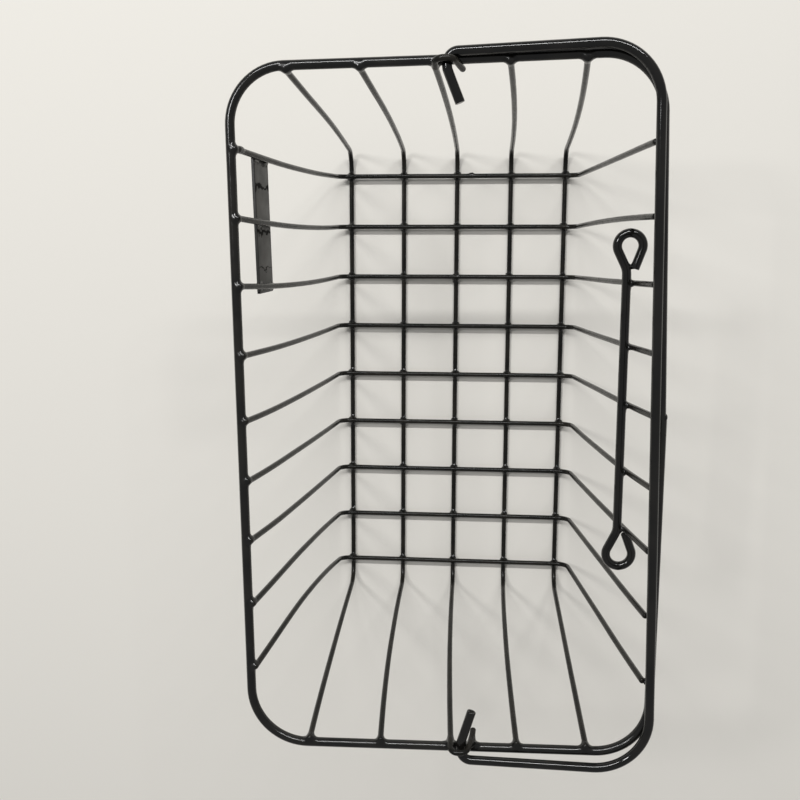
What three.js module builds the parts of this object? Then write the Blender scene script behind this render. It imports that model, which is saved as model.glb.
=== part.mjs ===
import * as THREE from 'three';
import { mergeVertices } from 'three/addons/utils/BufferGeometryUtils.js';

// Wire bicycle basket standing upright, in millimetres, +Z up.
// X runs along the basket, +Y is the rear wall that hangs on the bicycle,
// and Z = 0 is the underside of the lowest wires, with the origin at the middle of the base.

// Wire stock
const wireDiameter = 3.4; // thin wire of the base and walls
const barDiameter = 5.2; // thick wire of the rim, handle and hanger rod
const sectionSides = 12; // flat facets around a wire
const bendStep = 18; // degrees of bend between two stations
const bendRun = 40; // and no two of them this far apart

// Clearances
const weldGap = 0.15; // between pieces that are welded together
const pivotGap = 0.4; // handle pin above the rim, and folded handle above the rim
const eyeTopGap = 0.8; // handle pin to the top of its eye
const eyeSideGap = 1.4; // handle pin to each leg of its eye
const loopGap = 0.4; // tip of a hanger loop to the rod it closes on

// Base grid
const longWireCount = 5;
const longWirePitch = 40;
const crossWireCount = 9;
const crossWirePitch = 37.3;
const baseTurn = -1; // degrees, the base sits this far turned in the rim
const endOverhang = 17.8; // outer cross wire to the corner under the end wall
const sideOverhang = 9; // outer long wire to the corner under the side wall
const longWireBend = 14; // centre-line radius at the base
const crossWireBend = 9;

// Walls and rim
const rimHeight = 214; // centre-line of the rim
const endFlare = 18.55; // how far an end wall leans out on its way to the rim
const sideFlare = 19.55;
const rimDrawIn = 0.976; // the wires stand this share of their base pitch apart at the rim
const topTurn = 0.85; // degrees, the tops of the long wires and the handle's axis are turned the other way
const frontBow = 6.6; // last front wire towards -X at half height; the one before it bows half as far
const bowShare = 0.85; // of the wall's height that the bow takes up
const rimPeak = 3.2; // rear side of the rim runs out this far to its weld in the middle
const rimPeakBend = 60;
const wireAboveRim = 1.4; // wire ends stand this far past the centre-line of the rim
const straightPastWire = 3; // rim stays straight this far past the outer long wire

// Eyes of the middle long wire
const eyeKneeRise = 1.9; // the eye leans out over the rim from this far above its centre-line
const eyeLean = 15; // degrees
const eyeKneeBend = 3;
const eyeTailDrop = 6; // free end below the centre-line of the rim
const eyeTailIn = 1.4; // free end leans into the basket
const eyeTailSplay = 4; // and away from the pin

// Handle
const handlePinOut = 4.2; // arm outside the rim at the pin
const handleArmOut = 5.9; // and at the grip bar
const handleArmMore = 1; // the arm at +X is this much further out there
const handleBarOut = -0.4; // middle of the grip bar outside the ends of the rim's rear side
const handleBarSkew = 1.3; // the grip bar is this much further out at +X, and as much less at -X
const handleShift = 1.2; // end play, all to one side
const handleCorner = 33;
const handleTightCorner = 27; // the corner at +X
const handlePinBend = 6;
const pinStraight = 5.2; // pin runs straight this far inside the rim
const pinTail = 18; // then turns away to keep the handle in its eyes
const pinTailMore = 3; // the pin at +X is this much longer
const pinTailTurn = 18; // degrees
const pinTailBend = 4;

// Hanger rod
const rodBelowRim = 42.7; // middle of the rod
const rodTilt = 2.75; // degrees, the rod falls towards +X
const rodShift = -2.6; // middle of the rod along X
const rodPitches = 2; // the rod is welded to cross wires this far each side of the middle one
const rodPastWire = 4.9; // neck of each loop past the last of them
const loopRadius = 7.1;
const loopOffset = 1.4; // loop centre outward of the rod
const loopRootAngle = 26; // degrees, strand leaving the rod
const loopTipAngle = 20; // degrees, strand coming back
const loopNeckBend = 18;

// Badge strip
const stripLength = 78;
const stripWidth = 24;
const stripThickness = 2;
const stripCorner = 1.5;
const stripBelowRim = 44; // middle of the strip
const stripShift = 1.4; // middle of the strip along X from its middle wire
const stripWire = 1; // that wire, counted from 0

// Derived sizes
const wireRadius = wireDiameter / 2;
const barRadius = barDiameter / 2;
const lap = wireRadius + barRadius + weldGap;
const longLevel = wireRadius;
const crossLevel = longLevel + wireDiameter + weldGap;
const outerLongWire = longWirePitch * (longWireCount - 1) / 2;
const outerCrossWire = crossWirePitch * (crossWireCount - 1) / 2;
const baseHalfLength = outerCrossWire + endOverhang;
const baseHalfWidth = outerLongWire + sideOverhang;
const rimHalfLength = baseHalfLength + endFlare + lap;
const rimHalfWidth = baseHalfWidth + sideFlare + lap;
const rimCorner = rimHalfWidth - outerLongWire - straightPastWire;
const sideLean = Math.atan(sideFlare / (rimHeight - crossLevel));
const rodHeight = rimHeight - rodBelowRim;
const stripHeight = rimHeight - stripBelowRim;
const pivotHeight = rimHeight + barDiameter + pivotGap;
const eyeSpan = barDiameter + wireDiameter + 2 * eyeSideGap;
const pivotY = eyeSpan / 2;

const radians = THREE.MathUtils.degToRad;
const alongX = new THREE.Vector3(1, 0, 0);
const alongY = new THREE.Vector3(0, 1, 0);
const alongZ = new THREE.Vector3(0, 0, 1);

// The turn of the base dies out on the way up to the rim.
function turnAt(height) {
  return radians(baseTurn) * Math.max(0, 1 - height / rimHeight);
}

function turned(vector, height) {
  return vector.clone().applyAxisAngle(alongZ, turnAt(height));
}

const at = (x, y, z, bend = 0) => ({ point: turned(new THREE.Vector3(x, y, z), z), bend });

// Centre-line of an end wall and of a side wall at a height
function endWall(height) {
  return baseHalfLength + endFlare * (height - longLevel) / (rimHeight - longLevel);
}

function sideWall(height) {
  return baseHalfWidth + sideFlare * (height - crossLevel) / (rimHeight - crossLevel);
}

// The rear wall follows its side of the rim out to the weld.
function rearWall(x, height) {
  const out = rimPeak * (1 - Math.abs(x) / rimHalfLength);
  return sideWall(height) + out * (height - crossLevel) / (rimHeight - crossLevel);
}

// Where a wire stands along its wall at a height, counted from 0
function longWireY(i, height) {
  const rise = (height - longLevel) / (rimHeight - longLevel);
  return (i - (longWireCount - 1) / 2) * longWirePitch * (1 - (1 - rimDrawIn) * rise);
}

function crossWireX(i, height) {
  const rise = (height - crossLevel) / (rimHeight - crossLevel);
  return (i - (crossWireCount - 1) / 2) * crossWirePitch * (1 - (1 - rimDrawIn) * rise);
}

// How far the line of the eyes and of the long wires' tops has drifted in Y at x
function topShift(x) {
  return x * Math.tan(radians(topTurn));
}

// Points along one rounded corner, from the end of one straight run to the start of the next
function bendStations(before, corner, after) {
  const inward = corner.point.clone().sub(before).normalize();
  const outward = after.clone().sub(corner.point).normalize();
  const turn = inward.angleTo(outward);
  const axis = inward.clone().cross(outward).normalize();
  const start = corner.point.clone().addScaledVector(inward, -corner.bend * Math.tan(turn / 2));
  const centre = start.clone().addScaledVector(axis.clone().cross(inward), corner.bend);
  const steps = Math.max(1, Math.ceil(turn / radians(bendStep)), Math.ceil(corner.bend * turn / bendRun));
  const stations = [];
  for (let i = 0; i <= steps; i++) {
    const spoke = start.clone().sub(centre).applyAxisAngle(axis, turn * i / steps);
    stations.push(centre.clone().add(spoke));
  }
  return stations;
}

// A bent wire as a curve: straight runs between corners, each inner corner rounded.
// Its stations stand only where the wire starts, bends or ends.
class BentWire extends THREE.Curve {
  constructor(corners, across) {
    super();
    this.across = across; // direction square to the wire at its middle station
    this.stations = [corners[0].point];
    for (let i = 1; i < corners.length - 1; i++) {
      const before = corners[i - 1].point;
      const after = corners[i + 1].point;
      this.stations.push(...bendStations(before, corners[i], after));
    }
    this.stations.push(corners[corners.length - 1].point);
    this.stations = this.stations.filter((point, i, all) => i === 0 || point.distanceTo(all[i - 1]) > 0.01);
    this.runs = this.stations.length - 1;
  }

  getPoint(t, target = new THREE.Vector3()) {
    const place = t * this.runs;
    const run = Math.min(Math.floor(place), this.runs - 1);
    return target.lerpVectors(this.stations[run], this.stations[run + 1], place - run);
  }

  getSpacedPoints(count) {
    return this.getPoints(count);
  }

  // At a station the section halves the angle between the runs that meet there.
  computeFrenetFrames(count) {
    const heading = (run) => {
      const kept = THREE.MathUtils.clamp(run, 0, this.runs - 1);
      return this.stations[kept + 1].clone().sub(this.stations[kept]).normalize();
    };
    const tangents = this.stations.map((point, i) => heading(i - 1).add(heading(i)).normalize());
    const middle = Math.floor(count / 2);
    const normals = [];
    normals[middle] = this.across.clone();
    const carry = (from, to) => {
      const turn = new THREE.Quaternion().setFromUnitVectors(tangents[from], tangents[to]);
      normals[to] = normals[from].clone().applyQuaternion(turn);
    };
    for (let i = middle; i < count; i++) {
      carry(i, i + 1);
    }
    for (let i = middle; i > 0; i--) {
      carry(i, i - 1);
    }
    const binormals = tangents.map((tangent, i) => tangent.clone().cross(normals[i]));
    return { tangents, normals, binormals };
  }
}

// Round section whose facets touch the true diameter and face along its two axes
function roundSection(diameter) {
  const half = Math.PI / sectionSides;
  const points = [];
  for (let i = 0; i < sectionSides; i++) {
    const angle = half * (2 * i + 1);
    const reach = diameter / 2 / Math.cos(half);
    points.push(new THREE.Vector2(reach * Math.cos(angle), reach * Math.sin(angle)));
  }
  return new THREE.Shape(points);
}

function wireAlong(corners, across, diameter) {
  const path = new BentWire(corners, across);
  const settings = { extrudePath: path, steps: path.runs, curveSegments: 1 };
  return new THREE.ExtrudeGeometry(roundSection(diameter), settings);
}

// A wire whose ends meet: its two lids are left out and the seam is sewn up
function closedRing(geometry) {
  const sides = geometry.groups[1];
  const all = geometry.getAttribute('position').array;
  const kept = all.slice(sides.start * 3, (sides.start + sides.count) * 3);
  const ring = new THREE.BufferGeometry();
  ring.setAttribute('position', new THREE.BufferAttribute(kept, 3));
  const sewn = mergeVertices(ring, 0.001);
  sewn.computeVertexNormals();
  return sewn;
}

const basket = new THREE.Group();
basket.name = 'wire_bicycle_basket';

function addPiece(name, geometry, colour, roughness) {
  const material = new THREE.MeshStandardMaterial({ color: colour, roughness, metalness: 0 });
  const mesh = new THREE.Mesh(geometry, material);
  mesh.name = name;
  basket.add(mesh);
}

const enamel = 0x1a1a19;

// Rim, starting and ending in the middle of the front side
function rimCorners() {
  const seam = at(0, -rimHalfWidth, rimHeight);
  const weld = at(0, rimHalfWidth + rimPeak, rimHeight, rimPeakBend);
  const corner = (sideX, sideY) => at(sideX * rimHalfLength, sideY * rimHalfWidth, rimHeight, rimCorner);
  return [seam, corner(1, -1), corner(1, 1), weld, corner(-1, 1), corner(-1, -1), seam];
}

addPiece('rim', closedRing(wireAlong(rimCorners(), alongZ, barDiameter)), enamel, 0.3);

// Long wires: plain ends on the inside of the rim, or an eye arched over each handle pin
function plainEnd(side, i) {
  const top = rimHeight + wireAboveRim;
  const x = side * endWall(top);
  return [at(x, longWireY(i, top) + topShift(x), top)];
}

function eyeEnd(side) {
  const knee = rimHeight + eyeKneeRise;
  const arch = pivotHeight + barRadius + eyeTopGap + wireRadius;
  const tail = rimHeight - eyeTailDrop;
  const kneeX = side * endWall(knee);
  const archX = kneeX + side * (arch - knee) * Math.tan(radians(eyeLean));
  const near = topShift(kneeX);
  const far = near + eyeSpan;
  return [
    at(kneeX, near, knee, eyeKneeBend),
    at(archX, near, arch, eyeSpan / 2),
    at(archX, far, arch, eyeSpan / 2),
    at(kneeX, far, knee, eyeKneeBend),
    at(side * (endWall(tail) - eyeTailIn), far + eyeTailSplay, tail),
  ];
}

for (let i = 0; i < longWireCount; i++) {
  const y = longWireY(i, longLevel);
  const wireEnd = (side) => (y === 0 ? eyeEnd(side) : plainEnd(side, i));
  const corners = [
    ...wireEnd(-1).reverse(),
    at(-baseHalfLength, y, longLevel, longWireBend),
    at(baseHalfLength, y, longLevel, longWireBend),
    ...wireEnd(1),
  ];
  addPiece(`long_wire_${i + 1}`, wireAlong(corners, turned(alongY, longLevel), wireDiameter), enamel, 0.35);
}

// The last two wires of the front wall are bowed
function frontCorners(i, top) {
  const middle = (crossLevel + top) / 2;
  const half = top - middle;
  const bow = frontBow * Math.max(0, i - crossWireCount + 3) / 2;
  if (bow === 0) {
    return [];
  }
  const bend = bowShare * half * half / (2 * bow);
  return [at(crossWireX(i, middle) - 2 * bow, -sideWall(middle), middle, bend)];
}

// Cross wires, lying on the long wires
for (let i = 0; i < crossWireCount; i++) {
  const x = crossWireX(i, crossLevel);
  const top = rimHeight + wireAboveRim;
  const corners = [
    at(crossWireX(i, top), -sideWall(top), top),
    ...frontCorners(i, top),
    at(x, -baseHalfWidth, crossLevel, crossWireBend),
    at(x, baseHalfWidth, crossLevel, crossWireBend),
    at(crossWireX(i, top), rearWall(crossWireX(i, top), top), top),
  ];
  addPiece(`cross_wire_${i + 1}`, wireAlong(corners, turned(alongX, crossLevel), wireDiameter), enamel, 0.35);
}

// Handle, folded down on the rear of the rim
function handleEnd(side) {
  const x = (out) => side * (rimHalfLength + out) + handleShift;
  const axisY = (out) => pivotY + topShift(x(out));
  const turn = radians(pinTailTurn);
  const [corner, arm, tail] = side > 0
    ? [handleTightCorner, handleArmOut + handleArmMore, pinTail + pinTailMore]
    : [handleCorner, handleArmOut, pinTail];
  const tipX = x(-pinStraight - tail * Math.cos(turn));
  const tipY = axisY(-pinStraight) + tail * Math.sin(turn);
  return [
    at(x(arm), rimHalfWidth + handleBarOut + side * handleBarSkew, pivotHeight, corner),
    at(x(handlePinOut), axisY(handlePinOut), pivotHeight, handlePinBend),
    at(x(-pinStraight), axisY(-pinStraight), pivotHeight, pinTailBend),
    at(tipX, tipY, pivotHeight),
  ];
}

const handleCorners = [...handleEnd(-1).reverse(), ...handleEnd(1)];
addPiece('handle', wireAlong(handleCorners, alongZ, barDiameter), enamel, 0.28);

// Hanger rod: each loop leaves the rod, turns round a circle and comes back to close on the rod
function hangerLoop(side) {
  const root = radians(loopRootAngle);
  const back = radians(loopTipAngle);
  const lastWire = crossWireX((crossWireCount - 1) / 2 + rodPitches, rodHeight);
  const rodNeck = lastWire + rodPastWire;
  const toCentre = (loopRadius / Math.cos(root) - loopOffset) / Math.tan(root);
  const far = toCentre + loopRadius;
  const backAt = (u) => loopOffset + loopRadius / Math.cos(back) + (u - toCentre) * Math.tan(back);
  const tipReach = (barRadius + loopGap + barRadius * Math.cos(root + back)) / Math.cos(root);
  const tip = (tipReach - backAt(0)) / (Math.tan(root) + Math.tan(back));
  const place = (u, v, bend) => {
    const along = side * (rodNeck + u);
    const height = rodHeight - along * Math.tan(radians(rodTilt));
    const rodY = rearWall(lastWire, height) - lap / Math.cos(sideLean);
    return at(rodShift + along, rodY + v, height, bend);
  };
  return [
    place(0, 0, loopNeckBend),
    place(far, -far * Math.tan(root), loopRadius),
    place(far, backAt(far), loopRadius),
    place(tip, backAt(tip)),
  ];
}

const rodCorners = [...hangerLoop(-1).reverse(), ...hangerLoop(1)];
addPiece('hanger_rod', wireAlong(rodCorners, alongZ, barDiameter), enamel, 0.32);

// Badge strip, flat against the outside of the front wall
function stripGeometry() {
  const halfLength = stripLength / 2 - stripCorner;
  const halfWidth = stripWidth / 2 - stripCorner;
  const outline = new THREE.Shape();
  outline.absarc(halfLength, halfWidth, stripCorner, 0, Math.PI / 2);
  outline.absarc(-halfLength, halfWidth, stripCorner, Math.PI / 2, Math.PI);
  outline.absarc(-halfLength, -halfWidth, stripCorner, Math.PI, Math.PI * 1.5);
  outline.absarc(halfLength, -halfWidth, stripCorner, Math.PI * 1.5, Math.PI * 2);
  const settings = { depth: stripThickness, bevelEnabled: false, curveSegments: 4 };
  const strip = new THREE.ExtrudeGeometry(outline, settings);
  const standOff = wireRadius + weldGap;
  strip.translate(0, 0, standOff);
  strip.rotateX(Math.PI / 2 + sideLean);
  const stripX = crossWireX(stripWire, stripHeight) + stripShift;
  strip.translate(stripX, -sideWall(stripHeight), stripHeight);
  strip.rotateZ(turnAt(stripHeight));
  return strip;
}

addPiece('badge_strip', stripGeometry(), enamel, 0.35);

export default basket;
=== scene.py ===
import math
import random

import bmesh
import bpy
import numpy as np
from mathutils import Matrix, Vector, geometry, noise


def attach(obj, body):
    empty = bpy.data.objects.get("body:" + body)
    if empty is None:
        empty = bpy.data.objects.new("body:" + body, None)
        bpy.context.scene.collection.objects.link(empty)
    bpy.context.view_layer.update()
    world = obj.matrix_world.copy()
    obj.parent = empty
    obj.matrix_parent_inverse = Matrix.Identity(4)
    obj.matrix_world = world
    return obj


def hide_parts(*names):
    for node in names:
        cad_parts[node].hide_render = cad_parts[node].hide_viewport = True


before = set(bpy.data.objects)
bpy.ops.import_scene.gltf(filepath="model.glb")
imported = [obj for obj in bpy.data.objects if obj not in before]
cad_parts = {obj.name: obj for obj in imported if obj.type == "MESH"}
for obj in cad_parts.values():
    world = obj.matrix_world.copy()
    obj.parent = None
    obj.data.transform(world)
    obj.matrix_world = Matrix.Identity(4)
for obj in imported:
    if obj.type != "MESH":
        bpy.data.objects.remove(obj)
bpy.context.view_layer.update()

# Wire bicycle basket, standing on its base, mouth up. Lengths are millimetres until a mesh is written.
mm = 0.001
tiny = 0.01  # mm, closer than this is the same place
scene = bpy.context.scene


def linear(hexColour):
    channels = [int(hexColour[i:i + 2], 16) / 255 for i in (1, 3, 5)]
    return tuple(c / 12.92 if c <= 0.04045 else ((c + 0.055) / 1.055) ** 2.4 for c in channels) + (1,)


# camera
cameraView = {
    "place": (-87.1, 21.6, 708.4),
    "looking": (0.1499, -0.0902, -0.9846),
    "up": (-0.9886, 0.0011, -0.1506),
    "lens": 41.26,
    "sensor": 36,
    "nearest": 0.01,  # metres
}


def addCamera(view):
    ahead = Vector(view["looking"]).normalized()
    right = ahead.cross(Vector(view["up"])).normalized()
    facing = Matrix((right, right.cross(ahead), -ahead)).transposed()
    data = bpy.data.cameras.new("photoCamera")
    data.sensor_width = view["sensor"]
    data.lens = view["lens"]
    data.clip_start = view["nearest"]
    camera = bpy.data.objects.new("photoCamera", data)
    camera.matrix_world = Matrix.Translation(Vector(view["place"]) * mm) @ facing.to_4x4()
    scene.collection.objects.link(camera)
    scene.camera = camera


addCamera(cameraView)
print("camera set")


def addNode(tree, kind, links=None, **settings):
    node = tree.nodes.new(kind)
    for key, value in settings.items():
        if key in node.inputs:
            node.inputs[key].default_value = value
        else:
            setattr(node, key, value)
    for socket, source in (links or {}).items():
        tree.links.new(source, node.inputs[socket])
    return node


# floor and light
studio = {
    "floorColour": "#e1ded7",
    "floorSize": 6.0,  # metres
    "floorDrop": 0.3,  # mm below the lowest wires, which have a coat on
    "floorMottle": 400,  # mm
    "floorRough": (0.62, 0.72),
    "floorShine": 0.2,
    "worldColour": "#ffffff",
    "worldStrength": 0.30,
    "lampDistance": 2.3,  # metres
    "keyTilt": (-36, 0),  # degrees from overhead, towards +X and +Y
    "keySize": (0.11, 2.2),  # metres
    "keyWatts": 40,
    "fillTilt": (-16, -28),
    "fillSize": (0.3, 0.3),
    "fillWatts": 10,
}


def freshTree(owner):
    owner.use_nodes = True
    owner.node_tree.nodes.clear()
    return owner.node_tree


def addLamp(name, tilt, size, watts, distance):
    panel = bpy.data.lights.new(name, "AREA")
    panel.shape = "RECTANGLE"
    panel.size, panel.size_y = size
    panel.energy = watts
    lamp = bpy.data.objects.new(name, panel)
    overX, overY = (math.radians(angle) for angle in tilt)
    turn = Matrix.Rotation(-overY, 4, "X") @ Matrix.Rotation(overX, 4, "Y")
    lamp.matrix_world = turn @ Matrix.Translation((0, 0, distance))
    scene.collection.objects.link(lamp)


def addStudio(look):
    # Painted board: matt, pale and warm, with hardly any mottling
    board = bpy.data.materials.new("PaintedBoardMatt")
    tree = freshTree(board)
    place = addNode(tree, "ShaderNodeTexCoord")
    mottle = addNode(tree, "ShaderNodeTexNoise", {"Vector": place.outputs["Object"]}, Detail=3.0)
    mottle.inputs["Scale"].default_value = 1 / (look["floorMottle"] * mm)
    tone = addNode(tree, "ShaderNodeMapRange", {"Value": mottle.outputs["Fac"]})
    tone.inputs["To Min"].default_value, tone.inputs["To Max"].default_value = look["floorRough"]
    shade = addNode(tree, "ShaderNodeBsdfPrincipled", {"Roughness": tone.outputs["Result"]})
    shade.inputs["Base Color"].default_value = linear(look["floorColour"])
    shade.inputs["Specular IOR Level"].default_value = look["floorShine"]
    addNode(tree, "ShaderNodeOutputMaterial", {"Surface": shade.outputs["BSDF"]})
    mesh = bpy.data.meshes.new("floor")
    half = look["floorSize"] / 2
    low = -look["floorDrop"] * mm
    corners = [(-half, -half, low), (half, -half, low), (half, half, low), (-half, half, low)]
    mesh.from_pydata(corners, [], [(0, 1, 2, 3)])
    mesh.materials.append(board)
    floor = bpy.data.objects.new("floor", mesh)
    scene.collection.objects.link(floor)

    world = bpy.data.worlds.new("studioWorld")
    tree = freshTree(world)
    soft = addNode(tree, "ShaderNodeBackground", Strength=look["worldStrength"])
    soft.inputs["Color"].default_value = linear(look["worldColour"])
    addNode(tree, "ShaderNodeOutputWorld", {"Surface": soft.outputs["Background"]})
    scene.world = world

    addLamp("keyPanel", look["keyTilt"], look["keySize"], look["keyWatts"], look["lampDistance"])
    addLamp("fillPanel", look["fillTilt"], look["fillSize"], look["fillWatts"], look["lampDistance"])


addStudio(studio)
scene.view_settings.view_transform = "Standard"
print("floor and light set")

# enamel
# Stoving enamel, dipped on: a deep black gloss film. It gives the eye a thin sharp highlight along each bar,
# slightly broken by orange peel, slow sags where it ran, and a nib of dust here and there.
barEnamel = {
    "name": "StovingEnamelDippedOnBar",
    "deep": "#0b0b0a",
    "thin": "#151412",
    "patch": 23,  # mm between thick and thin places
    "rough": (0.06, 0.12),
    "shine": 0.5,
    "peel": 1.5,  # mm; real peel is near 0.8, drawn coarser so that it shows
    "peelHeight": 0.006,
    "sag": 7,
    "sagHeight": 0.04,
    "nib": 11,  # mm between nibs
    "nibHeight": 0.03,
}
# On the rim the same film has dulled with use.
rimEnamel = dict(barEnamel, name="StovingEnamelDulledOnRim", thin="#181714", rough=(0.13, 0.23))
# The same film on thin drawn wire: it pulls thinner, so it is a shade browner and more satin.
wireEnamel = {
    "name": "StovingEnamelDippedOnWire",
    "deep": "#121210",
    "thin": "#201e1a",
    "patch": 17,
    "rough": (0.18, 0.28),
    "shine": 0.22,
    "peel": 1.3,
    "peelHeight": 0.004,
    "sag": 5,
    "sagHeight": 0.03,
    "nib": 14,
    "nibHeight": 0.02,
}
# Enamel over weld scale: thick in the fillets, with the lumps of the weld showing through.
weldEnamel = {
    "name": "StovingEnamelPooledOnWelds",
    "deep": "#0c0c0b",
    "thin": "#171614",
    "patch": 6,
    "rough": (0.14, 0.26),
    "shine": 0.45,
    "peel": 1.2,
    "peelHeight": 0.008,
    "sag": 2.4,
    "sagHeight": 0.035,
    "nib": 5,
    "nibHeight": 0.025,
}
# On the rolled strip the film lies flat and satin.
stripEnamel = {
    "name": "StovingEnamelDippedOnStrip",
    "deep": "#1b1b19",
    "thin": "#292825",
    "patch": 14,
    "rough": (0.34, 0.46),
    "shine": 0.5,
    "peel": 1.4,
    "peelHeight": 0.010,
    "sag": 9,
    "sagHeight": 0.04,
    "nib": 12,
    "nibHeight": 0.04,
    "mark": "#161513",
    "markRough": 0.9,
    "markShine": 0.1,
    "markFade": (0.4, 0.7),  # shares of a mark's width, where it starts to fade and where it ends
    "markFrom": -150,  # mm along X, the run that the marks lie in
    "markTo": -70,
    "markAt": (-144.6, -130.6, -104.8, -83.9),  # ragged dark lines of old residue across the strip
    "markWide": (0.7, 1.9, 1.6, 0.7),
    "markStray": 10,  # mm
    "markPatch": 5,
}
# What the films share
film = {
    "patchNoise": (0.36, 0.66),  # the noise runs from deep to thin between these
    "hazeNoise": (0.3, 0.7),
    "nibWide": 0.06,  # share of the way between nibs
    "ior": 1.5,
}


def enamelMaterial(look):
    material = bpy.data.materials.new(look["name"])
    tree = freshTree(material)
    place = addNode(tree, "ShaderNodeTexCoord").outputs["Object"]
    perMetre = {key: 1 / (look[key] * mm) for key in ("patch", "peel", "sag", "nib")}
    patch = addNode(tree, "ShaderNodeTexNoise", {"Vector": place}, Scale=perMetre["patch"], Detail=4.0)
    spread = addNode(tree, "ShaderNodeMapRange", {"Value": patch.outputs["Fac"]})
    spread.interpolation_type = "SMOOTHSTEP"
    spread.inputs["From Min"].default_value, spread.inputs["From Max"].default_value = film["patchNoise"]
    colour = addNode(tree, "ShaderNodeMix", {"Factor": spread.outputs["Result"]}, data_type="RGBA")
    for socket, key in ((colour.inputs[6], "deep"), (colour.inputs[7], "thin")):
        socket.default_value = linear(look[key])
    haze = addNode(tree, "ShaderNodeTexNoise", {"Vector": place}, Scale=perMetre["sag"], Detail=3.0)
    rough = addNode(tree, "ShaderNodeMapRange", {"Value": haze.outputs["Fac"]})
    rough.inputs["From Min"].default_value, rough.inputs["From Max"].default_value = film["hazeNoise"]
    rough.inputs["To Min"].default_value, rough.inputs["To Max"].default_value = look["rough"]

    # heights are in millimetres: sags, then orange peel, then dust nibs
    peel = addNode(tree, "ShaderNodeTexNoise", {"Vector": place}, Scale=perMetre["peel"], Detail=1.0)
    cells = addNode(tree, "ShaderNodeTexVoronoi", {"Vector": place}, Scale=perMetre["nib"])
    nib = addNode(tree, "ShaderNodeMapRange", {"Value": cells.outputs["Distance"]})
    nib.interpolation_type = "SMOOTHSTEP"
    nib.inputs["From Min"].default_value, nib.inputs["From Max"].default_value = 0, film["nibWide"]
    nib.inputs["To Min"].default_value, nib.inputs["To Max"].default_value = 1, 0
    normal = {}
    for height, key in (
        (haze.outputs["Fac"], "sagHeight"),
        (peel.outputs["Fac"], "peelHeight"),
        (nib.outputs["Result"], "nibHeight"),
    ):
        bump = addNode(tree, "ShaderNodeBump", {"Height": height, **normal}, Strength=1.0)
        bump.inputs["Distance"].default_value = look[key] * mm
        normal = {"Normal": bump.outputs["Normal"]}

    shade = addNode(tree, "ShaderNodeBsdfPrincipled", {
        "Base Color": colour.outputs[2],
        "Roughness": rough.outputs["Result"],
        **normal,
    })
    shade.inputs["IOR"].default_value = film["ior"]
    shade.inputs["Specular IOR Level"].default_value = look["shine"]
    shade.inputs["Metallic"].default_value = 0.0
    surface = shade.outputs["BSDF"]
    if "mark" in look:
        surface = markedSurface(tree, look, place, surface)
    addNode(tree, "ShaderNodeOutputMaterial", {"Surface": surface})
    return material


# Dull dark lines across the strip's inner face: a ramp along X, pushed to and fro by noise
def markedSurface(tree, look, place, surface):
    ragged = addNode(tree, "ShaderNodeTexNoise", {"Vector": place}, Detail=3.0)
    ragged.inputs["Scale"].default_value = 1 / (look["markPatch"] * mm)
    along = addNode(tree, "ShaderNodeSeparateXYZ", {"Vector": place})
    pushed = {0: ragged.outputs["Fac"], 2: along.outputs["X"]}
    push = addNode(tree, "ShaderNodeMath", pushed, operation="MULTIPLY_ADD")
    push.inputs[1].default_value = look["markStray"] * mm
    centred = look["markStray"] / 2
    run = addNode(tree, "ShaderNodeMapRange", {"Value": push.outputs["Value"]})
    run.inputs["From Min"].default_value = (look["markFrom"] + centred) * mm
    run.inputs["From Max"].default_value = (look["markTo"] + centred) * mm
    ramp = addNode(tree, "ShaderNodeValToRGB", {"Fac": run.outputs["Result"]})
    length = look["markTo"] - look["markFrom"]
    full, gone = look["markFade"]
    for middle, wide in zip(look["markAt"], look["markWide"]):
        for offset, level in ((-gone, 0), (-full, 1), (full, 1), (gone, 0)):
            stop = ramp.color_ramp.elements.new((middle + offset * wide - look["markFrom"]) / length)
            stop.color = (level, level, level, 1)
    ramp.color_ramp.elements[0].color = ramp.color_ramp.elements[-1].color = (0, 0, 0, 1)
    facing = addNode(tree, "ShaderNodeSeparateXYZ", {"Vector": place.node.outputs["Normal"]})
    inner = addNode(tree, "ShaderNodeMath", {0: facing.outputs["Y"]}, operation="GREATER_THAN")
    onFace = {0: ramp.outputs["Color"], 1: inner.outputs["Value"]}
    marked = addNode(tree, "ShaderNodeMath", onFace, operation="MULTIPLY")
    residue = addNode(tree, "ShaderNodeBsdfPrincipled", Roughness=look["markRough"])
    residue.inputs["Base Color"].default_value = linear(look["mark"])
    residue.inputs["Specular IOR Level"].default_value = look["markShine"]
    links = {"Fac": marked.outputs["Value"], 1: surface, 2: residue.outputs["BSDF"]}
    return addNode(tree, "ShaderNodeMixShader", links).outputs["Shader"]


enamelOnBar = enamelMaterial(barEnamel)
enamelOnRim = enamelMaterial(rimEnamel)
enamelOnWire = enamelMaterial(wireEnamel)
enamelOnWeld = enamelMaterial(weldEnamel)
enamelOnStrip = enamelMaterial(stripEnamel)
print("enamel mixed")

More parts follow.
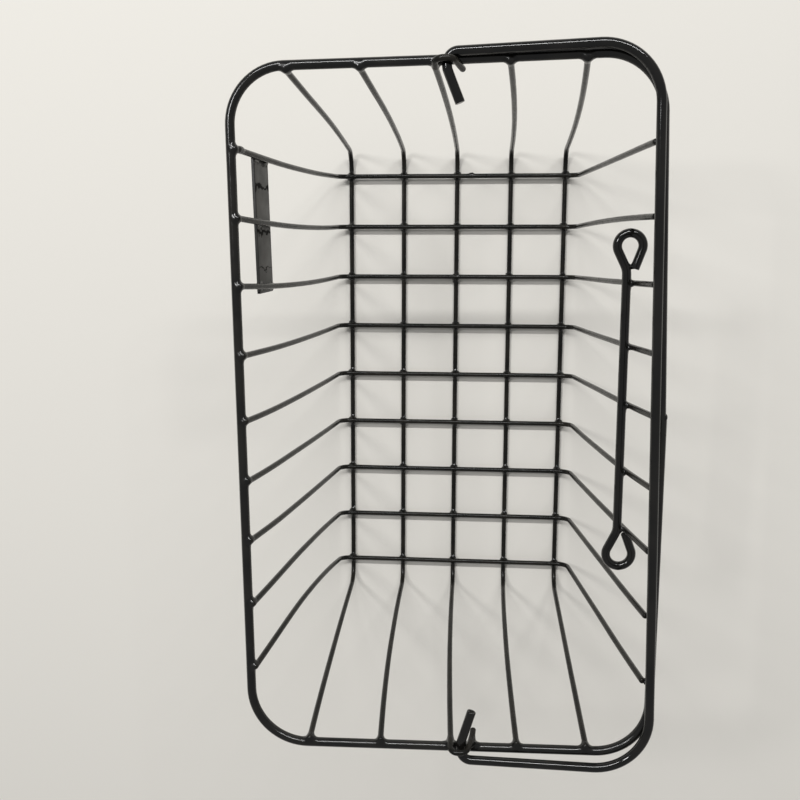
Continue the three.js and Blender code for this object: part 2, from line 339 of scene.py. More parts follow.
# bent wire
wireStock = {
    "wire": 3.4,  # diameters
    "bar": 5.2,
    "weldGap": 0.15,
    "wireSides": 20,
    "barSides": 28,
    "spacing": 4.0,  # mm between stations on a straight run
    "turnStep": 5.0,  # degrees between stations in a bend
    "uneven": 0.10,  # mm a wire wanders from its line
    "unevenLength": 55,  # mm
    "unevenSeed": 8,
    "unevenApart": (7.3, 3.1, 5.7),  # step in the noise from one wire to the next
    "coat": 0.03,  # mm the enamel swells and thins
    "coatLength": 9,  # mm
    "endTurns": (0, 20, 40, 60, 75, 90),  # degrees, the rings that round off an end
    "endMiddle": 0.55,  # size of the ring inside the cut face
    "sharp": 50,  # degrees; edges sharper than this stay so
}
noise.seed_set(wireStock["unevenSeed"])  # without this the wires wander another way in each run
wireRadius = wireStock["wire"] / 2
barRadius = wireStock["bar"] / 2
lap = wireRadius + barRadius + wireStock["weldGap"]


# Stations round one bend
def bendPoints(before, corner, after, bend):
    inward = (corner - before).normalized()
    outward = (after - corner).normalized()
    turn = inward.angle(outward)
    axis = inward.cross(outward).normalized()
    start = corner - inward * bend * math.tan(turn / 2)
    centre = start + axis.cross(inward) * bend
    byTurn = math.ceil(math.degrees(turn) / wireStock["turnStep"])
    byLength = round(bend * turn / wireStock["spacing"])
    steps = max(2, byTurn, byLength)
    return [centre + Matrix.Rotation(turn * i / steps, 3, axis) @ (start - centre) for i in range(steps + 1)]


# Corners are (x, y, z) or (x, y, z, bend radius). Straight runs are cut into even short lengths.
def bentPath(corners):
    corners = [turned(corner) for corner in corners]
    points = [Vector(corner[:3]) for corner in corners]
    stations = [points[0]]
    for i in range(1, len(corners) - 1):
        stations += bendPoints(points[i - 1], points[i], points[i + 1], corners[i][3])
    stations.append(points[-1])
    path = [stations[0]]
    for station in stations[1:]:
        run = station - path[-1]
        if run.length < tiny:
            continue
        start = path[-1]
        cuts = max(1, round(run.length / wireStock["spacing"]))
        path += [start + run * (k + 1) / cuts for k in range(cuts)]
    return path


# A drawn wire is never quite straight
def wander(path, seed, amount):
    moved = []
    for point in path:
        where = point / wireStock["unevenLength"] + Vector([seed * step for step in wireStock["unevenApart"]])
        moved.append(point + noise.noise_vector(where) * amount)
    return moved


# Round bar along a path: a ring, or a length with its two ends rounded by so many millimetres
def sweepBar(path, radius, sides, seed, ends=None):
    closed = ends is None
    count = len(path)
    tangents = []
    for i in range(count):
        ahead = path[(i + 1) % count] if closed else path[min(i + 1, count - 1)]
        behind = path[i - 1] if closed else path[max(i - 1, 0)]
        tangents.append((ahead - behind).normalized())
    across = tangents[0].orthogonal().normalized()
    if closed:
        across = Vector((0, 0, 1))
    rings = []
    for i in range(count):
        if i > 0:
            across = tangents[i - 1].rotation_difference(tangents[i]) @ across
        across = (across - tangents[i] * across.dot(tangents[i])).normalized()
        swell = noise.noise(path[i] / wireStock["coatLength"] + Vector((seed, 0, 0))) * wireStock["coat"]
        rings.append((path[i], tangents[i], across.copy(), radius + swell))
    if not closed:
        rings = endRings(rings, ends[0], True) + rings[1:-1] + endRings(rings, ends[1], False)
    bm = bmesh.new()
    loops = []
    for centre, tangent, side, size in rings:
        other = tangent.cross(side)
        loop = []
        for k in range(sides):
            angle = 2 * math.pi * k / sides
            spot = centre + (side * math.cos(angle) + other * math.sin(angle)) * size
            loop.append(bm.verts.new(spot * mm))
        loops.append(loop)
    pairs = list(zip(loops, loops[1:]))
    if closed:
        pairs.append((loops[-1], loops[0]))
    for one, two in pairs:
        for k in range(sides):
            bm.faces.new((one[k], one[(k + 1) % sides], two[(k + 1) % sides], two[k]))
    if not closed:
        for loop, ring in ((loops[0], rings[0]), (loops[-1], rings[-1])):
            tip = bm.verts.new(ring[0] * mm)
            for k in range(sides):
                bm.faces.new((loop[k], loop[(k + 1) % sides], tip))
    bmesh.ops.recalc_face_normals(bm, faces=bm.faces[:])
    return bm


# Rings that round off one end of a bar: the cut face stays where the path ends
def endRings(rings, rounding, first):
    centre, tangent, side, size = rings[0] if first else rings[-1]
    outward = -tangent if first else tangent
    made = []
    for angle in wireStock["endTurns"]:
        turn = math.radians(angle)
        back = rounding * (1 - math.sin(turn))
        made.append((centre - outward * back, tangent, side, size - rounding * (1 - math.cos(turn))))
    made.append((made[-1][0], tangent, side, made[-1][3] * wireStock["endMiddle"]))
    return made[::-1] if first else made


# Each piece rides on its body and stands in for the nodes that it redraws; welds stand in for none
def addPiece(name, bm, material, body, nodes=()):
    mesh = bpy.data.meshes.new(name)
    bm.to_mesh(mesh)
    bm.free()
    mesh.polygons.foreach_set("use_smooth", [True] * len(mesh.polygons))
    mesh.set_sharp_from_angle(angle=math.radians(wireStock["sharp"]))
    mesh.materials.append(material)
    piece = bpy.data.objects.new(name, mesh)
    scene.collection.objects.link(piece)
    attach(piece, body)
    if nodes:
        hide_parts(*nodes)


# base grid and walls
baseGrid = {
    "longCount": 5,
    "longPitch": 40,
    "crossCount": 9,
    "crossPitch": 37.3,
    "endOverhang": 17.8,
    "sideOverhang": 9,
    "longBend": 14,
    "crossBend": 9,
    "turn": -1,  # degrees, the base sits turned in the rim
    "longSeeds": (1, 11),  # first wire's, for its wander and its coat
    "crossSeeds": (21, 31),
}
walls = {
    "rimHeight": 214,
    "endFlare": 18.55,
    "sideFlare": 19.55,
    "drawIn": 0.976,  # share of the base pitch at which the wires stand at the rim
    "topTurn": 0.85,  # degrees, the tops of the long wires and the handle's axis
    "frontBow": 6.6,  # last front wire; the one before it bows half as far
    "bowedWires": 2,
    "bowShare": 0.85,
    "rimPeak": 3.5,  # rear side of the rim runs out to its weld
    "rimPeakBend": 4,
    "rimStep": 0.6,  # at the weld its +X end stands out this much further
    "rimStepLength": 1.7,
    "rimWeldAt": -1.7,  # mm along X
    "rimKink": 1.1,  # from the eye its -X side runs out to the rear corner
    "rimKinkBend": 300,
    "rimShift": 0.55,  # mm towards +X
    "rimSeed": 3,
    # mm that each corner of the rim stands off in Y, and is rounder by
    "rimRack": {(1, -1): (-0.2, 2.2), (1, 1): (0.9, 0), (-1, 1): (0.4, 0), (-1, -1): (0.6, 0)},
    "aboveRim": 1.4,
    "straightPastWire": 3,
    "drawnBend": 300,  # rear wires where the rod's weld draws them in
    "sink": (1.3, 0.6),  # mm the weld sinks a wire end into the rim; less at the rear
    "sinkOver": 60,  # mm of wire that this bends
    "endAbove": 1.3,  # wire ends not under the handle stand this much higher
    "wireEnd": 1.4,  # rounding of the wire ends at the rim
}
longLevel = wireRadius
crossLevel = longLevel + wireStock["wire"] + wireStock["weldGap"]
middleLong = baseGrid["longCount"] // 2
middleCross = baseGrid["crossCount"] // 2
outerLong = baseGrid["longPitch"] * (baseGrid["longCount"] - 1) / 2
outerCross = baseGrid["crossPitch"] * (baseGrid["crossCount"] - 1) / 2
baseHalfLength = outerCross + baseGrid["endOverhang"]
baseHalfWidth = outerLong + baseGrid["sideOverhang"]
rimHeight = walls["rimHeight"]
rimHalfLength = baseHalfLength + walls["endFlare"] + lap
rimHalfWidth = baseHalfWidth + walls["sideFlare"] + lap
rimCorner = rimHalfWidth - outerLong - walls["straightPastWire"]
sideLean = math.atan(walls["sideFlare"] / (rimHeight - crossLevel))
wireTop = rimHeight + walls["aboveRim"]
freeTop = wireTop + walls["endAbove"]


# How far out the middle of a wall's wires is at a height
def endWall(height):
    return baseHalfLength + walls["endFlare"] * (height - longLevel) / (rimHeight - longLevel)


def sideWall(height):
    return baseHalfWidth + walls["sideFlare"] * (height - crossLevel) / (rimHeight - crossLevel)


# The rear wall follows its side of the rim out to the weld
def rearWall(x, height):
    peak = walls["rimPeak"] + (walls["rimStep"] if x > 0 else 0)
    out = peak * (1 - abs(x) / rimHalfLength)
    return sideWall(height) + out * (height - crossLevel) / (rimHeight - crossLevel)


# Towards the rim the wires stand a little closer together
def crossWireX(i, height):
    rise = (height - crossLevel) / (rimHeight - crossLevel)
    onBase = (i - (baseGrid["crossCount"] - 1) / 2) * baseGrid["crossPitch"]
    return onBase * (1 - (1 - walls["drawIn"]) * rise)


def longWireY(i, height):
    rise = (height - longLevel) / (rimHeight - longLevel)
    onBase = (i - (baseGrid["longCount"] - 1) / 2) * baseGrid["longPitch"]
    return onBase * (1 - (1 - walls["drawIn"]) * rise)


# How far the -X side of the rim, and the wires welded to it, have run out here
def kinkOut(y):
    return walls["rimKink"] * max(0, y) / rimHalfWidth


# Drift in Y of the line of the eyes and of the long wires' tops
def topShift(x):
    return x * math.tan(math.radians(walls["topTurn"]))


# The turn of the base dies out on the way up to the rim
def turnAt(height):
    return math.radians(baseGrid["turn"]) * max(0, 1 - height / rimHeight)


def turned(corner):
    spot = Matrix.Rotation(turnAt(corner[2]), 3, "Z") @ Vector(corner[:3])
    return (*spot, *corner[3:])


# handle, with its eyes in the middle long wire
handle = {
    "pinOut": (3.5, 4.2),  # at -X and +X
    "armOut": 6.0,
    "armMore": 1.4,  # at +X
    "barOut": -0.4,
    "barSkew": 1.3,  # grip bar further out at +X, less at -X
    "shift": 1.2,
    "corner": (29.8, 30),
    "pinBend": 6,
    "pinStraight": 5.2,
    "pinTail": 18,
    "pinTailMore": 3,  # at +X
    "pinSlant": (0.7, 0),  # mm the pin is askew in its loose eye, at -X and +X
    "pinTailTurn": (21, 18),  # degrees
    "pinTailBend": 4,
    "pivotGap": 0.4,
    "cutEnd": 0.35,  # rounding of the cut ends
    "seed": 41,
}
eye = {
    "topGap": 1.4,
    "farIn": (1.9, 2.6),  # mm the far shoulder is drawn in, at -X and +X
    "tighter": (0.5, 0.4),  # share of it by which the near and far shoulders bend tighter
    "sideGap": 1.4,
    "kneeRise": 1.9,
    "lean": 15,  # degrees
    "kneeBend": 3,
    "farKnee": 0.6,  # mm; at +X the far leg is bent at the rim, and welded there
    "tailDrop": 6,
    "tailIn": (-0.4, 2.6),  # at -X and +X
    "tailSplay": (2.7, 1.8),
    "tailEnd": 1.2,
}
pivotHeight = rimHeight + wireStock["bar"] + handle["pivotGap"]
eyeSpan = wireStock["bar"] + wireStock["wire"] + 2 * eye["sideGap"]
pivotY = eyeSpan / 2


# One eye: a knee at the rim, the arch over the pin, and the far leg
def eyeEnd(side):
    knee = rimHeight + eye["kneeRise"]
    arch = pivotHeight + barRadius + eye["topGap"] + wireRadius
    tail = rimHeight - eye["tailDrop"]
    kneeX = side * endWall(knee)
    archX = kneeX + side * (arch - knee) * math.tan(math.radians(eye["lean"]))
    near = topShift(kneeX)
    far = near + eyeSpan
    more = 1 if side > 0 else 0
    farIn = eye["farIn"][more]
    nearBend, farBend = (eyeSpan / 2 - farIn * share for share in eye["tighter"])
    farKnee = [(kneeX, far + eye["farKnee"], knee, eye["kneeBend"])] if side > 0 else []
    return [
        (kneeX, near, knee, eye["kneeBend"]),
        (archX, near, arch, nearBend),
        (archX, far - farIn, arch, farBend),
        *farKnee,
        (side * (endWall(tail) - eye["tailIn"][more]), far + eye["tailSplay"][more], tail),
    ]


# One end of the handle: the corner, the pin, and its tail turned aside
def handleEnd(side):
    def onAxis(out):
        x = side * (rimHalfLength + out) + handle["shift"]
        return x, pivotY + topShift(x)

    more = 1 if side > 0 else 0
    armX = side * (rimHalfLength + handle["armOut"] + more * handle["armMore"]) + handle["shift"]
    armY = rimHalfWidth + handle["barOut"] + side * handle["barSkew"]
    turn = math.radians(handle["pinTailTurn"][more])
    tail = handle["pinTail"] + more * handle["pinTailMore"]
    turnX, turnY = onAxis(-handle["pinStraight"])
    turnY += handle["pinSlant"][more]
    return [
        (armX, armY, pivotHeight, handle["corner"][more]),
        (*onAxis(handle["pinOut"][more]), pivotHeight, handle["pinBend"]),
        (turnX, turnY, pivotHeight, handle["pinTailBend"]),
        (turnX - side * tail * math.cos(turn), turnY + tail * math.sin(turn), pivotHeight),
    ]


handlePath = bentPath(handleEnd(-1)[::-1] + handleEnd(1))
handleMesh = sweepBar(handlePath, barRadius, wireStock["barSides"], handle["seed"], (handle["cutEnd"],) * 2)
addPiece("handleBail", handleMesh, enamelOnBar, "handle", ["handle"])
print("handle bent")

# rim
rimCorners = []
for (x, y), (rack, rounder) in walls["rimRack"].items():
    out = kinkOut(y * rimHalfWidth) if x < 0 else 0
    cornerX = x * (rimHalfLength + out) + walls["rimShift"]
    rimCorners.append((cornerX, y * rimHalfWidth + rack, rimHeight, rimCorner + rounder))
rimStart = [(one + two) / 2 for one, two in zip(rimCorners[0][:3], rimCorners[3][:3])]
rimWeldY = rimHalfWidth + walls["rimPeak"]
rimWeld = [
    (walls["rimWeldAt"] + side * walls["rimStepLength"] / 2, rimWeldY + step, rimHeight, walls["rimPeakBend"])
    for side, step in ((1, walls["rimStep"]), (-1, 0))
]
rimKink = (walls["rimShift"] - rimHalfLength, 0, rimHeight, walls["rimKinkBend"])
rimRound = [rimStart, *rimCorners[:2], *rimWeld, rimCorners[2], rimKink, rimCorners[3], rimStart]
rimPath = bentPath(rimRound)[:-1]
rimMesh = sweepBar(rimPath, barRadius, wireStock["barSides"], walls["rimSeed"])
addPiece("rimRing", rimMesh, enamelOnRim, "basket", ["rim"])
print("rim bent")

# hanger rod with a teardrop loop at each end
hanger = {
    "belowRim": 42.7,
    "tilt": 2.75,  # degrees, falling towards +X
    "shift": -2.6,
    "pitches": 2,
    "pastWire": (4.9, 3.7),  # at -X and +X
    "loopRadius": (7.1, 7.6),
    "loopOffset": 1.4,
    "rootAngle": 26,  # degrees
    "tipAngle": 20,
    "neckBend": 13,
    "tipGap": (-0.4, 0.4),  # at -X and +X
    "bridge": 2.4,  # blend of the enamel that closes the loop at -X
    "tipStations": 12,  # stations of the rod's path that are that loop's tip
    "loopStations": 20,  # and those up to its root
    "cutEnd": 0.35,
    "seed": 52,
}
rodHeight = rimHeight - hanger["belowRim"]
lastRodWire = crossWireX(middleCross + hanger["pitches"], rodHeight)


# Where the rod's line is, this far along it from its middle
def onRod(along):
    height = rodHeight - along * math.tan(math.radians(hanger["tilt"]))
    return hanger["shift"] + along, rearWall(lastRodWire, height) - lap / math.cos(sideLean), height


# One loop, from the neck round to the tip; u runs along the rod and v out to the rear
def hangerLoop(side):
    root = math.radians(hanger["rootAngle"])
    back = math.radians(hanger["tipAngle"])
    neck = lastRodWire + hanger["pastWire"][side > 0]
    radius = hanger["loopRadius"][side > 0]
    toCentre = (radius / math.cos(root) - hanger["loopOffset"]) / math.tan(root)
    far = toCentre + radius

    def backAt(u):
        return hanger["loopOffset"] + radius / math.cos(back) + (u - toCentre) * math.tan(back)

    tipReach = (barRadius + hanger["tipGap"][side > 0] + barRadius * math.cos(root + back)) / math.cos(root)
    tip = (tipReach - backAt(0)) / (math.tan(root) + math.tan(back))
    spots = [(0, 0), (far, -far * math.tan(root)), (far, backAt(far)), (tip, backAt(tip))]
    bends = [hanger["neckBend"], radius, radius, 0]
    corners = []
    for (u, v), bend in zip(spots, bends):
        x, y, z = onRod(side * (neck + u))
        corners.append((x, y + v, z, bend))
    return corners


rodPath = bentPath(hangerLoop(-1)[::-1] + hangerLoop(1))
rodMesh = sweepBar(rodPath, barRadius, wireStock["barSides"], hanger["seed"], (hanger["cutEnd"],) * 2)
addPiece("hangerRod", rodMesh, enamelOnBar, "basket", ["hanger_rod"])
print("hanger rod bent")

# long wires, then cross wires over them
# Single wires stand off the even grid: millimetres along their wall at the rim, and a bow at half height
strays = {
    "lowEnd": {"most": (-0.4, 2.1), 2: (0, 1.4)},
    "highEnd": {"most": (-1.4, -1.4), 0: (-3.8, -0.6), 1: (-1.6, -2), 2: (0, -1.3), 4: (-1.4, -0.3)},
    "front": {
        "most": (-1.8, 2.2), 3: (-0.2, 1.2), 4: (0, 1.2),
        5: (-2.2, 0.5), 6: (-4.1, 0.5), 7: (-3.2, 1), 8: (-1.3, 1.2),
    },
    "rear": {"most": (0, 0.2), 1: (1.3, -1.2), 4: (-2.7, 0), 5: (0.4, 1.2), 6: (-0.6, 0.6), 8: (1.7, 0)},
}


# Top of a long wire that has no eye
def plainEnd(side, i):
    x = side * endWall(freeTop)
    y = longWireY(i, freeTop)
    if side < 0:
        x -= kinkOut(y)
    return x, y + topShift(x), freeTop


# The last two wires of the front wall are bowed
def frontBow(i):
    middle = (crossLevel + wireTop) / 2
    half = wireTop - middle
    bowed = walls["bowedWires"]
    bow = walls["frontBow"] * max(0, i - baseGrid["crossCount"] + bowed + 1) / bowed
    if bow == 0:
        return []
    bend = walls["bowShare"] * half * half / (2 * bow)
    return [(crossWireX(i, middle) - 2 * bow, -sideWall(middle), middle, bend)]


# Leans and bows a wire off the grid and sinks its ends into the rim; across is the axis along its walls
def strayed(path, i, across, lowWall, highWall, hasEye=False):
    moved = []
    for point in path:
        wall = strays[lowWall if point[1 - across] < 0 else highWall]
        atRim, bow = wall.get(i, wall["most"])
        rise = min(1, max(0, point.z - crossLevel) / (rimHeight - crossLevel))
        shift = Vector((0, 0, 0))
        shift[across] = atRim * rise + bow * 4 * rise * (1 - rise)
        if not hasEye:
            near = min(1, max(0, 1 - (rimHeight - point.z) / walls["sinkOver"]))
            sink = walls["sink"][wall is strays["rear"]]
            shift[1 - across] = math.copysign(sink * near * near, point[1 - across])
        moved.append(point + shift)
    return moved


# A rear wire behind the rod is drawn in to it by its weld
def drawnToRod(i):
    if abs(i - middleCross) > hanger["pitches"]:
        return []
    x = crossWireX(i, rodHeight)
    _, rodY, height = onRod(x - hanger["shift"])
    return [(x, rodY + lap / math.cos(sideLean), height, walls["drawnBend"])]


longPaths = []
wanderSeed, coatSeed = baseGrid["longSeeds"]
for i in range(baseGrid["longCount"]):
    hasEye = i == middleLong
    y = longWireY(i, longLevel)
    upper = eyeEnd(1) if hasEye else [plainEnd(1, i)]
    lower = eyeEnd(-1)[::-1] if hasEye else [plainEnd(-1, i)]
    floorRun = [(side * baseHalfLength, y, longLevel, baseGrid["longBend"]) for side in (-1, 1)]
    path = strayed(bentPath(lower + floorRun + upper), i, 1, "lowEnd", "highEnd", hasEye)
    path = wander(path, i + wanderSeed, 0 if hasEye else wireStock["uneven"])
    longPaths.append(path)
    ends = (eye["tailEnd"] if hasEye else walls["wireEnd"],) * 2
    wire = sweepBar(path, wireRadius, wireStock["wireSides"], i + coatSeed, ends)
    addPiece(f"longWire{i + 1}", wire, enamelOnWire, "basket", [f"long_wire_{i + 1}"])

crossPaths = []
wanderSeed, coatSeed = baseGrid["crossSeeds"]
for i in range(baseGrid["crossCount"]):
    x = crossWireX(i, crossLevel)
    topX = crossWireX(i, wireTop)
    corners = [
        (topX, -sideWall(freeTop), freeTop),
        *frontBow(i),
        (x, -baseHalfWidth, crossLevel, baseGrid["crossBend"]),
        (x, baseHalfWidth, crossLevel, baseGrid["crossBend"]),
        *drawnToRod(i),
        (topX, rearWall(topX, wireTop), wireTop),
    ]
    path = strayed(bentPath(corners), i, 0, "front", "rear")
    path = wander(path, i + wanderSeed, wireStock["uneven"])
    crossPaths.append(path)
    wire = sweepBar(path, wireRadius, wireStock["wireSides"], i + coatSeed, (walls["wireEnd"],) * 2)
    addPiece(f"crossWire{i + 1}", wire, enamelOnWire, "basket", [f"cross_wire_{i + 1}"])
print("base and wall wires bent")

# badge strip, a plain flat plate
strip = {
    "length": 78,
    "width": 24,
    "thickness": 2,
    "corner": 1.5,
    "cornerSteps": 6,
    "belowRim": 44,
    "shift": 1.4,
    "wire": 1,  # the cross wire at its middle, counted from 0
    "tilt": 2.4,  # degrees, welded on a little askew, higher at -X
    "raise": 1.6,
    "edge": 0.45,
    "edgeSteps": 4,
    "weldIn": 2.5,  # welds stand this far in from its edges
}
stripHeight = rimHeight - strip["belowRim"]
stripX = crossWireX(strip["wire"], stripHeight) + strip["shift"]
stripPlace = (
    Matrix.Rotation(turnAt(stripHeight), 4, "Z")
    @ Matrix.Translation((stripX, -sideWall(stripHeight), stripHeight))
    @ Matrix.Rotation(math.pi / 2 + sideLean, 4, "X")
    @ Matrix.Translation((0, strip["raise"], 0))
    @ Matrix.Rotation(math.radians(-strip["tilt"]), 4, "Z")
)
stripFace = wireRadius + wireStock["weldGap"]  # inner face, from the line of the wires


def stripMesh():
    bm = bmesh.new()
    outline = []
    for quarter, (sideX, sideY) in enumerate([(1, 1), (-1, 1), (-1, -1), (1, -1)]):
        for k in range(strip["cornerSteps"] + 1):
            angle = math.pi / 2 * (quarter + k / strip["cornerSteps"])
            x = sideX * (strip["length"] / 2 - strip["corner"]) + strip["corner"] * math.cos(angle)
            y = sideY * (strip["width"] / 2 - strip["corner"]) + strip["corner"] * math.sin(angle)
            outline.append(bm.verts.new((x, y, stripFace)))
    plate = bm.faces.new(outline)
    grown = bmesh.ops.extrude_face_region(bm, geom=[plate])
    for item in grown["geom"]:
        if isinstance(item, bmesh.types.BMVert):
            item.co.z += strip["thickness"]
    bmesh.ops.recalc_face_normals(bm, faces=bm.faces[:])
    edges = [edge for edge in bm.edges if abs(edge.verts[0].co.z - edge.verts[1].co.z) < tiny]
    bevel = {"offset": strip["edge"], "segments": strip["edgeSteps"], "profile": 0.5, "affect": "EDGES"}
    bmesh.ops.bevel(bm, geom=edges, **bevel)
    bm.transform(Matrix.Scale(mm, 4) @ stripPlace)
    return bm


addPiece("badgePlate", stripMesh(), enamelOnStrip, "basket", ["badge_strip"])
print("strip cut")

# welds
# Each weld is a ball of rays from the touching point, pulled in to the melted surface of the two bars.
# Away from the fillet it lies just under the bars.
weld = {
    "seed": 17,
    "reach": 6.0,  # mm
    "margin": 5,  # mm more, over which the bars are measured
    "fineness": 4,  # of the ball
    "halvings": 18,  # steps in finding the surface along a ray
    "tuck": 0.05,
    "crossing": (2.8, 4.2),  # blend of two crossing wires
    "atLowEnd": (3.0, 4.4),
    "atHighEnd": (2.8, 4.0),
    "atEye": (4.6, 5.2),  # at +X, where the eye leaves the rim
    "atEyeTail": 5.4,
    "atFront": (2.3, 3.3),
    "underHandle": (1.2, 1.8),
    "atRod": (1.8, 2.6),
    "atStrip": (1.4, 2.2),
    "bead": (0.45, 0.85),  # radius of a bead of weld metal
    "beadOut": (1.0, 1.9),  # mm from the touching point
    "beadLift": (-0.5, 0.5),
    "beads": 3,
    "webBead": (0.75, 1.15),  # at a crossing, one bead squeezed out into each corner
    "webBeadOut": (2.1, 2.7),
    "webBeadSwing": (-12, 12),  # degrees
    "webBeadLift": (-0.3, 0.5),
    "beadBlend": 1.1,
}
draw = random.Random(weld["seed"])
ball = bmesh.new()
bmesh.ops.create_icosphere(ball, subdivisions=weld["fineness"], radius=1)
rays = np.array([vert.co[:] for vert in ball.verts])
rayFaces = [[vert.index for vert in face.verts] for face in ball.faces]
ball.free()


# Distance to the lengths of a bar's path near a place. A cut end counts as domed, so it starts further in.
def barField(path, radius, centre):
    farthest = weld["reach"] + weld["margin"]
    mostOfRun = 0.9
    nowhere = 1e6
    last = len(path) - 2
    runs = []
    for i in range(last + 1):
        start, end = path[i].copy(), path[i + 1].copy()
        if min((start - centre).length, (end - centre).length) > farthest:
            continue
        if i == 0:
            start += (end - start).normalized() * min(radius, (end - start).length * mostOfRun)
        if i == last:
            end -= (end - start).normalized() * min(radius, (end - start).length * mostOfRun)
        runs.append((np.array(start), np.array(end - start)))

    def distance(points):
        best = np.full(len(points), nowhere)
        for start, run in runs:
            along = np.clip(((points - start) @ run) / (run @ run), 0, 1)
            best = np.minimum(best, np.linalg.norm(points - start - along[:, None] * run, axis=1))
        return best - radius

    return distance


# Distance to the strip
def plateField(points):
    turn = np.array(stripPlace.to_3x3())
    local = (points - np.array(stripPlace.translation)) @ turn
    local[:, 2] -= stripFace + strip["thickness"] / 2
    over = np.abs(local) - np.array((strip["length"], strip["width"], strip["thickness"])) / 2
    return np.linalg.norm(np.maximum(over, 0), axis=1) + np.minimum(over.max(axis=1), 0)


# Two distances run together, as weld metal runs into a corner
def melt(one, two, blend):
    near = np.maximum(blend - np.abs(one - two), 0) / blend
    return np.minimum(one, two) - near * near * blend / 4


def meltedBall(bm, centre, fields, lumps=(), blend=1):
    middle = np.array(centre)

    def field(points):
        total = fields[0](points)
        for part in fields[1:]:
            total = melt(total, part(points), blend)
        for spot, radius in lumps:
            bead = np.linalg.norm(points - np.array(spot), axis=1) - radius
            total = melt(total, bead, weld["beadBlend"])
        return total + weld["tuck"]

    low = np.zeros(len(rays))
    high = np.full(len(rays), weld["reach"])
    for _ in range(weld["halvings"]):
        half = (low + high) / 2
        inside = field(middle + rays * half[:, None]) < 0
        low = np.where(inside, half, low)
        high = np.where(inside, high, half)
    verts = [bm.verts.new(Vector(middle + ray * out) * mm) for ray, out in zip(rays, low)]
    for face in rayFaces:
        bm.faces.new([verts[i] for i in face])


# Where two bars come closest near a place, and the direction from the first to the second
def meeting(pathA, radiusA, pathB, radiusB, near):
    near = Vector(near)
    pick = []
    for path in (pathA, pathB):
        i = min(range(1, len(path) - 1), key=lambda k: (path[k] - near).length)
        pick.append((path[i - 1], path[i + 1]))
    onA, onB = geometry.intersect_line_line(*pick[0], *pick[1])
    apart = (onB - onA).normalized()
    gap = (onB - onA).length - radiusA - radiusB
    return onA + apart * (radiusA + gap / 2), apart


def weldTogether(bm, pathA, radiusA, pathB, radiusB, near, blends, extra=()):
    centre, apart = meeting(pathA, radiusA, pathB, radiusB, near)
    along = apart.orthogonal().normalized()
    lumps = []
    for _ in range(weld["beads"]):
        turn = Matrix.Rotation(draw.uniform(0, 2 * math.pi), 3, apart)
        away = turn @ along * draw.uniform(*weld["beadOut"]) + apart * draw.uniform(*weld["beadLift"])
        lumps.append((centre + away, draw.uniform(*weld["bead"])))
    lumps += [(centre + Vector(offset), radius) for offset, radius in extra]
    fields = [barField(pathA, radiusA, centre), barField(pathB, radiusB, centre)]
    meltedBall(bm, centre, fields, lumps, draw.uniform(*blends))


# Weld metal squeezed out into the four corners of a crossing
def webBeads():
    beads = []
    for quarter in range(4):
        angle = math.radians(45 + 90 * quarter + draw.uniform(*weld["webBeadSwing"]))
        out = draw.uniform(*weld["webBeadOut"])
        offset = (out * math.cos(angle), out * math.sin(angle), draw.uniform(*weld["webBeadLift"]))
        beads.append((offset, draw.uniform(*weld["webBead"])))
    return beads


# The point of a path nearest to a place
def nearestOn(path, place):
    return min(path, key=lambda point: (point - Vector(place)).length)


# A blob of spatter or enamel on one wire
def addBlob(bm, path, place, lumps):
    spot = nearestOn(path, place)
    beads = [(spot + Vector(offset), radius) for offset, radius in lumps]
    meltedBall(bm, spot, [barField(path, wireRadius, spot)], beads)


spatter = {
    "crossing": (2, 2),  # long wire and cross wire, counted from 0, whose weld spat
    "crossingLumps": [((1.5, -1.6, 0.2), 1.5), ((3.6, -1.5, -1.2), 1.3), ((-0.6, 1.2, 1.6), 1.4)],
    "stubBelow": 8,  # mm under the rim, on cross wire 1 at the front
    "stub": [((-0.2, 0.3, 3.0), 1.9), ((-0.4, 0.2, 0), 2.0), ((-0.5, 0.1, -2.2), 1.9)],
    "dripPast": 10.2,  # mm from the middle of cross wire 1, on the base
    "drip": [((-1.2, -0.9, -0.4), 1.5), ((-1.0, -2.4, -0.4), 1.3)],
}
baseWelds = bmesh.new()
for i, longPath in enumerate(longPaths):
    for j, crossPath in enumerate(crossPaths):
        near = turned((crossWireX(j, crossLevel), longWireY(i, longLevel), wireStock["wire"]))
        extra = webBeads() + (spatter["crossingLumps"] if (i, j) == spatter["crossing"] else [])
        weldTogether(baseWelds, longPath, wireRadius, crossPath, wireRadius, near, weld["crossing"], extra)
dripPlace = turned((crossWireX(0, crossLevel), spatter["dripPast"], crossLevel))
addBlob(baseWelds, crossPaths[0], dripPlace, spatter["drip"])
addPiece("baseWelds", baseWelds, enamelOnWeld, "basket")

overlap = 8  # stations; the ring runs on past its start, so that a weld there finds the bar on both sides
rimLoop = rimPath[-overlap:] + rimPath + rimPath[:overlap]
rimWelds = bmesh.new()
for end, side, blends in ((0, -1, weld["atLowEnd"]), (-1, 1, weld["atHighEnd"])):
    footX = side * endWall(rimHeight)
    for i, longPath in enumerate(longPaths):
        hasEye = i == middleLong
        near = (footX, topShift(footX), rimHeight) if hasEye else longPath[end]
        filling = weld["atEye"] if hasEye and side > 0 else blends
        weldTogether(rimWelds, longPath, wireRadius, rimLoop, barRadius, near, filling)
for end, blends in ((0, weld["atFront"]), (-1, weld["underHandle"])):
    for j, crossPath in enumerate(crossPaths):
        weldTogether(rimWelds, crossPath, wireRadius, rimLoop, barRadius, crossPath[end], blends)
eyePath = longPaths[middleLong]
tailPlace = (endWall(rimHeight), topShift(endWall(rimHeight)) + eyeSpan + eye["farKnee"], rimHeight)
tailCentre, _ = meeting(eyePath, wireRadius, rimLoop, barRadius, tailPlace)
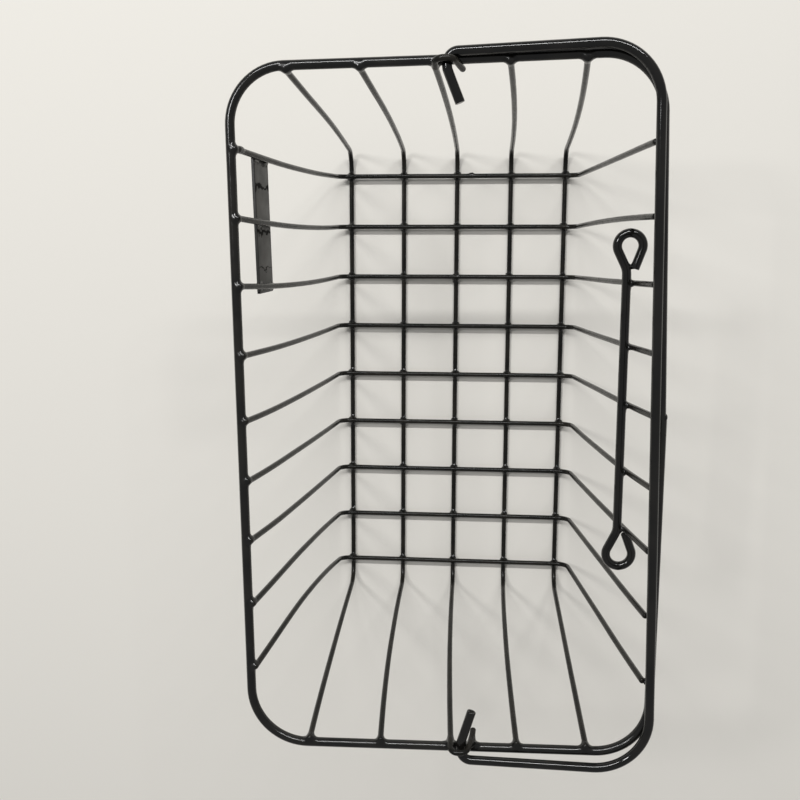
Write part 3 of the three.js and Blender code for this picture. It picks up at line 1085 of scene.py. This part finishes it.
tailFields = [barField(eyePath, wireRadius, tailCentre), barField(rimLoop, barRadius, tailCentre)]
meltedBall(rimWelds, tailCentre, tailFields, blend=weld["atEyeTail"])
stubPlace = crossPaths[0][0] - Vector((0, 0, spatter["stubBelow"]))
addBlob(rimWelds, crossPaths[0], stubPlace, spatter["stub"])
addPiece("rimWelds", rimWelds, enamelOnWeld, "basket")

# The rim's butt weld: beads round the bar, kept clear of the handle above
buttWeld = {
    "spread": 1.3,  # mm along the bar
    "beads": 14,
    "from": -200,  # degrees round the bar, 0 being outward
    "to": 35,
    "sunk": 2.2,  # beads this far from the middle of the bar
    "radius": (0.75, 1.0),
}


def buttWeldMesh():
    bm = bmesh.new()
    centre = nearestOn(rimPath, (walls["rimWeldAt"], rimWeldY, rimHeight))
    lumps = []
    for k in range(buttWeld["beads"]):
        share = k / (buttWeld["beads"] - 1)
        angle = math.radians(buttWeld["from"] + (buttWeld["to"] - buttWeld["from"]) * share)
        stray = draw.uniform(-buttWeld["spread"], buttWeld["spread"])
        outward = Vector((0, math.cos(angle), math.sin(angle))) * buttWeld["sunk"]
        lumps.append((centre + outward + Vector((stray, 0, 0)), draw.uniform(*buttWeld["radius"])))
    meltedBall(bm, centre, [barField(rimLoop, barRadius, centre)], lumps)
    return bm


addPiece("rimButtWeld", buttWeldMesh(), enamelOnWeld, "basket")

rodWelds = bmesh.new()
for j in range(middleCross - hanger["pitches"], middleCross + hanger["pitches"] + 1):
    near = turned(onRod(crossWireX(j, rodHeight) - hanger["shift"]))
    weldTogether(rodWelds, crossPaths[j], wireRadius, rodPath, barRadius, near, weld["atRod"])
tipRoot = nearestOn(rodPath[hanger["loopStations"]:], rodPath[0])
tipCentre = rodPath[0] + (tipRoot - rodPath[0]) / 2
tipParts = (rodPath[:hanger["tipStations"]], rodPath[hanger["tipStations"]:])
tipFields = [barField(part, barRadius, tipCentre) for part in tipParts]
meltedBall(rodWelds, tipCentre, tipFields, blend=hanger["bridge"])
addPiece("rodWelds", rodWelds, enamelOnWeld, "basket")

# The strip's welds, near both edges behind each of its three wires
stripWelds = bmesh.new()
outward = stripPlace.to_3x3() @ Vector((0, 0, 1))
for j in range(strip["wire"] - 1, strip["wire"] + 2):
    frontRun = [point for point in crossPaths[j] if point.y < 0]
    for edge in (-1, 1):
        local = Vector((0, edge * (strip["width"] / 2 - strip["weldIn"]), 0))
        level = (stripPlace @ local).z
        onWire = min(frontRun, key=lambda point: abs(point.z - level))
        centre = onWire + outward * (wireRadius + wireStock["weldGap"] / 2)
        fields = [barField(crossPaths[j], wireRadius, centre), plateField]
        meltedBall(stripWelds, centre, fields, blend=draw.uniform(*weld["atStrip"]))
addPiece("stripWelds", stripWelds, enamelOnWeld, "basket")
print("welds laid")
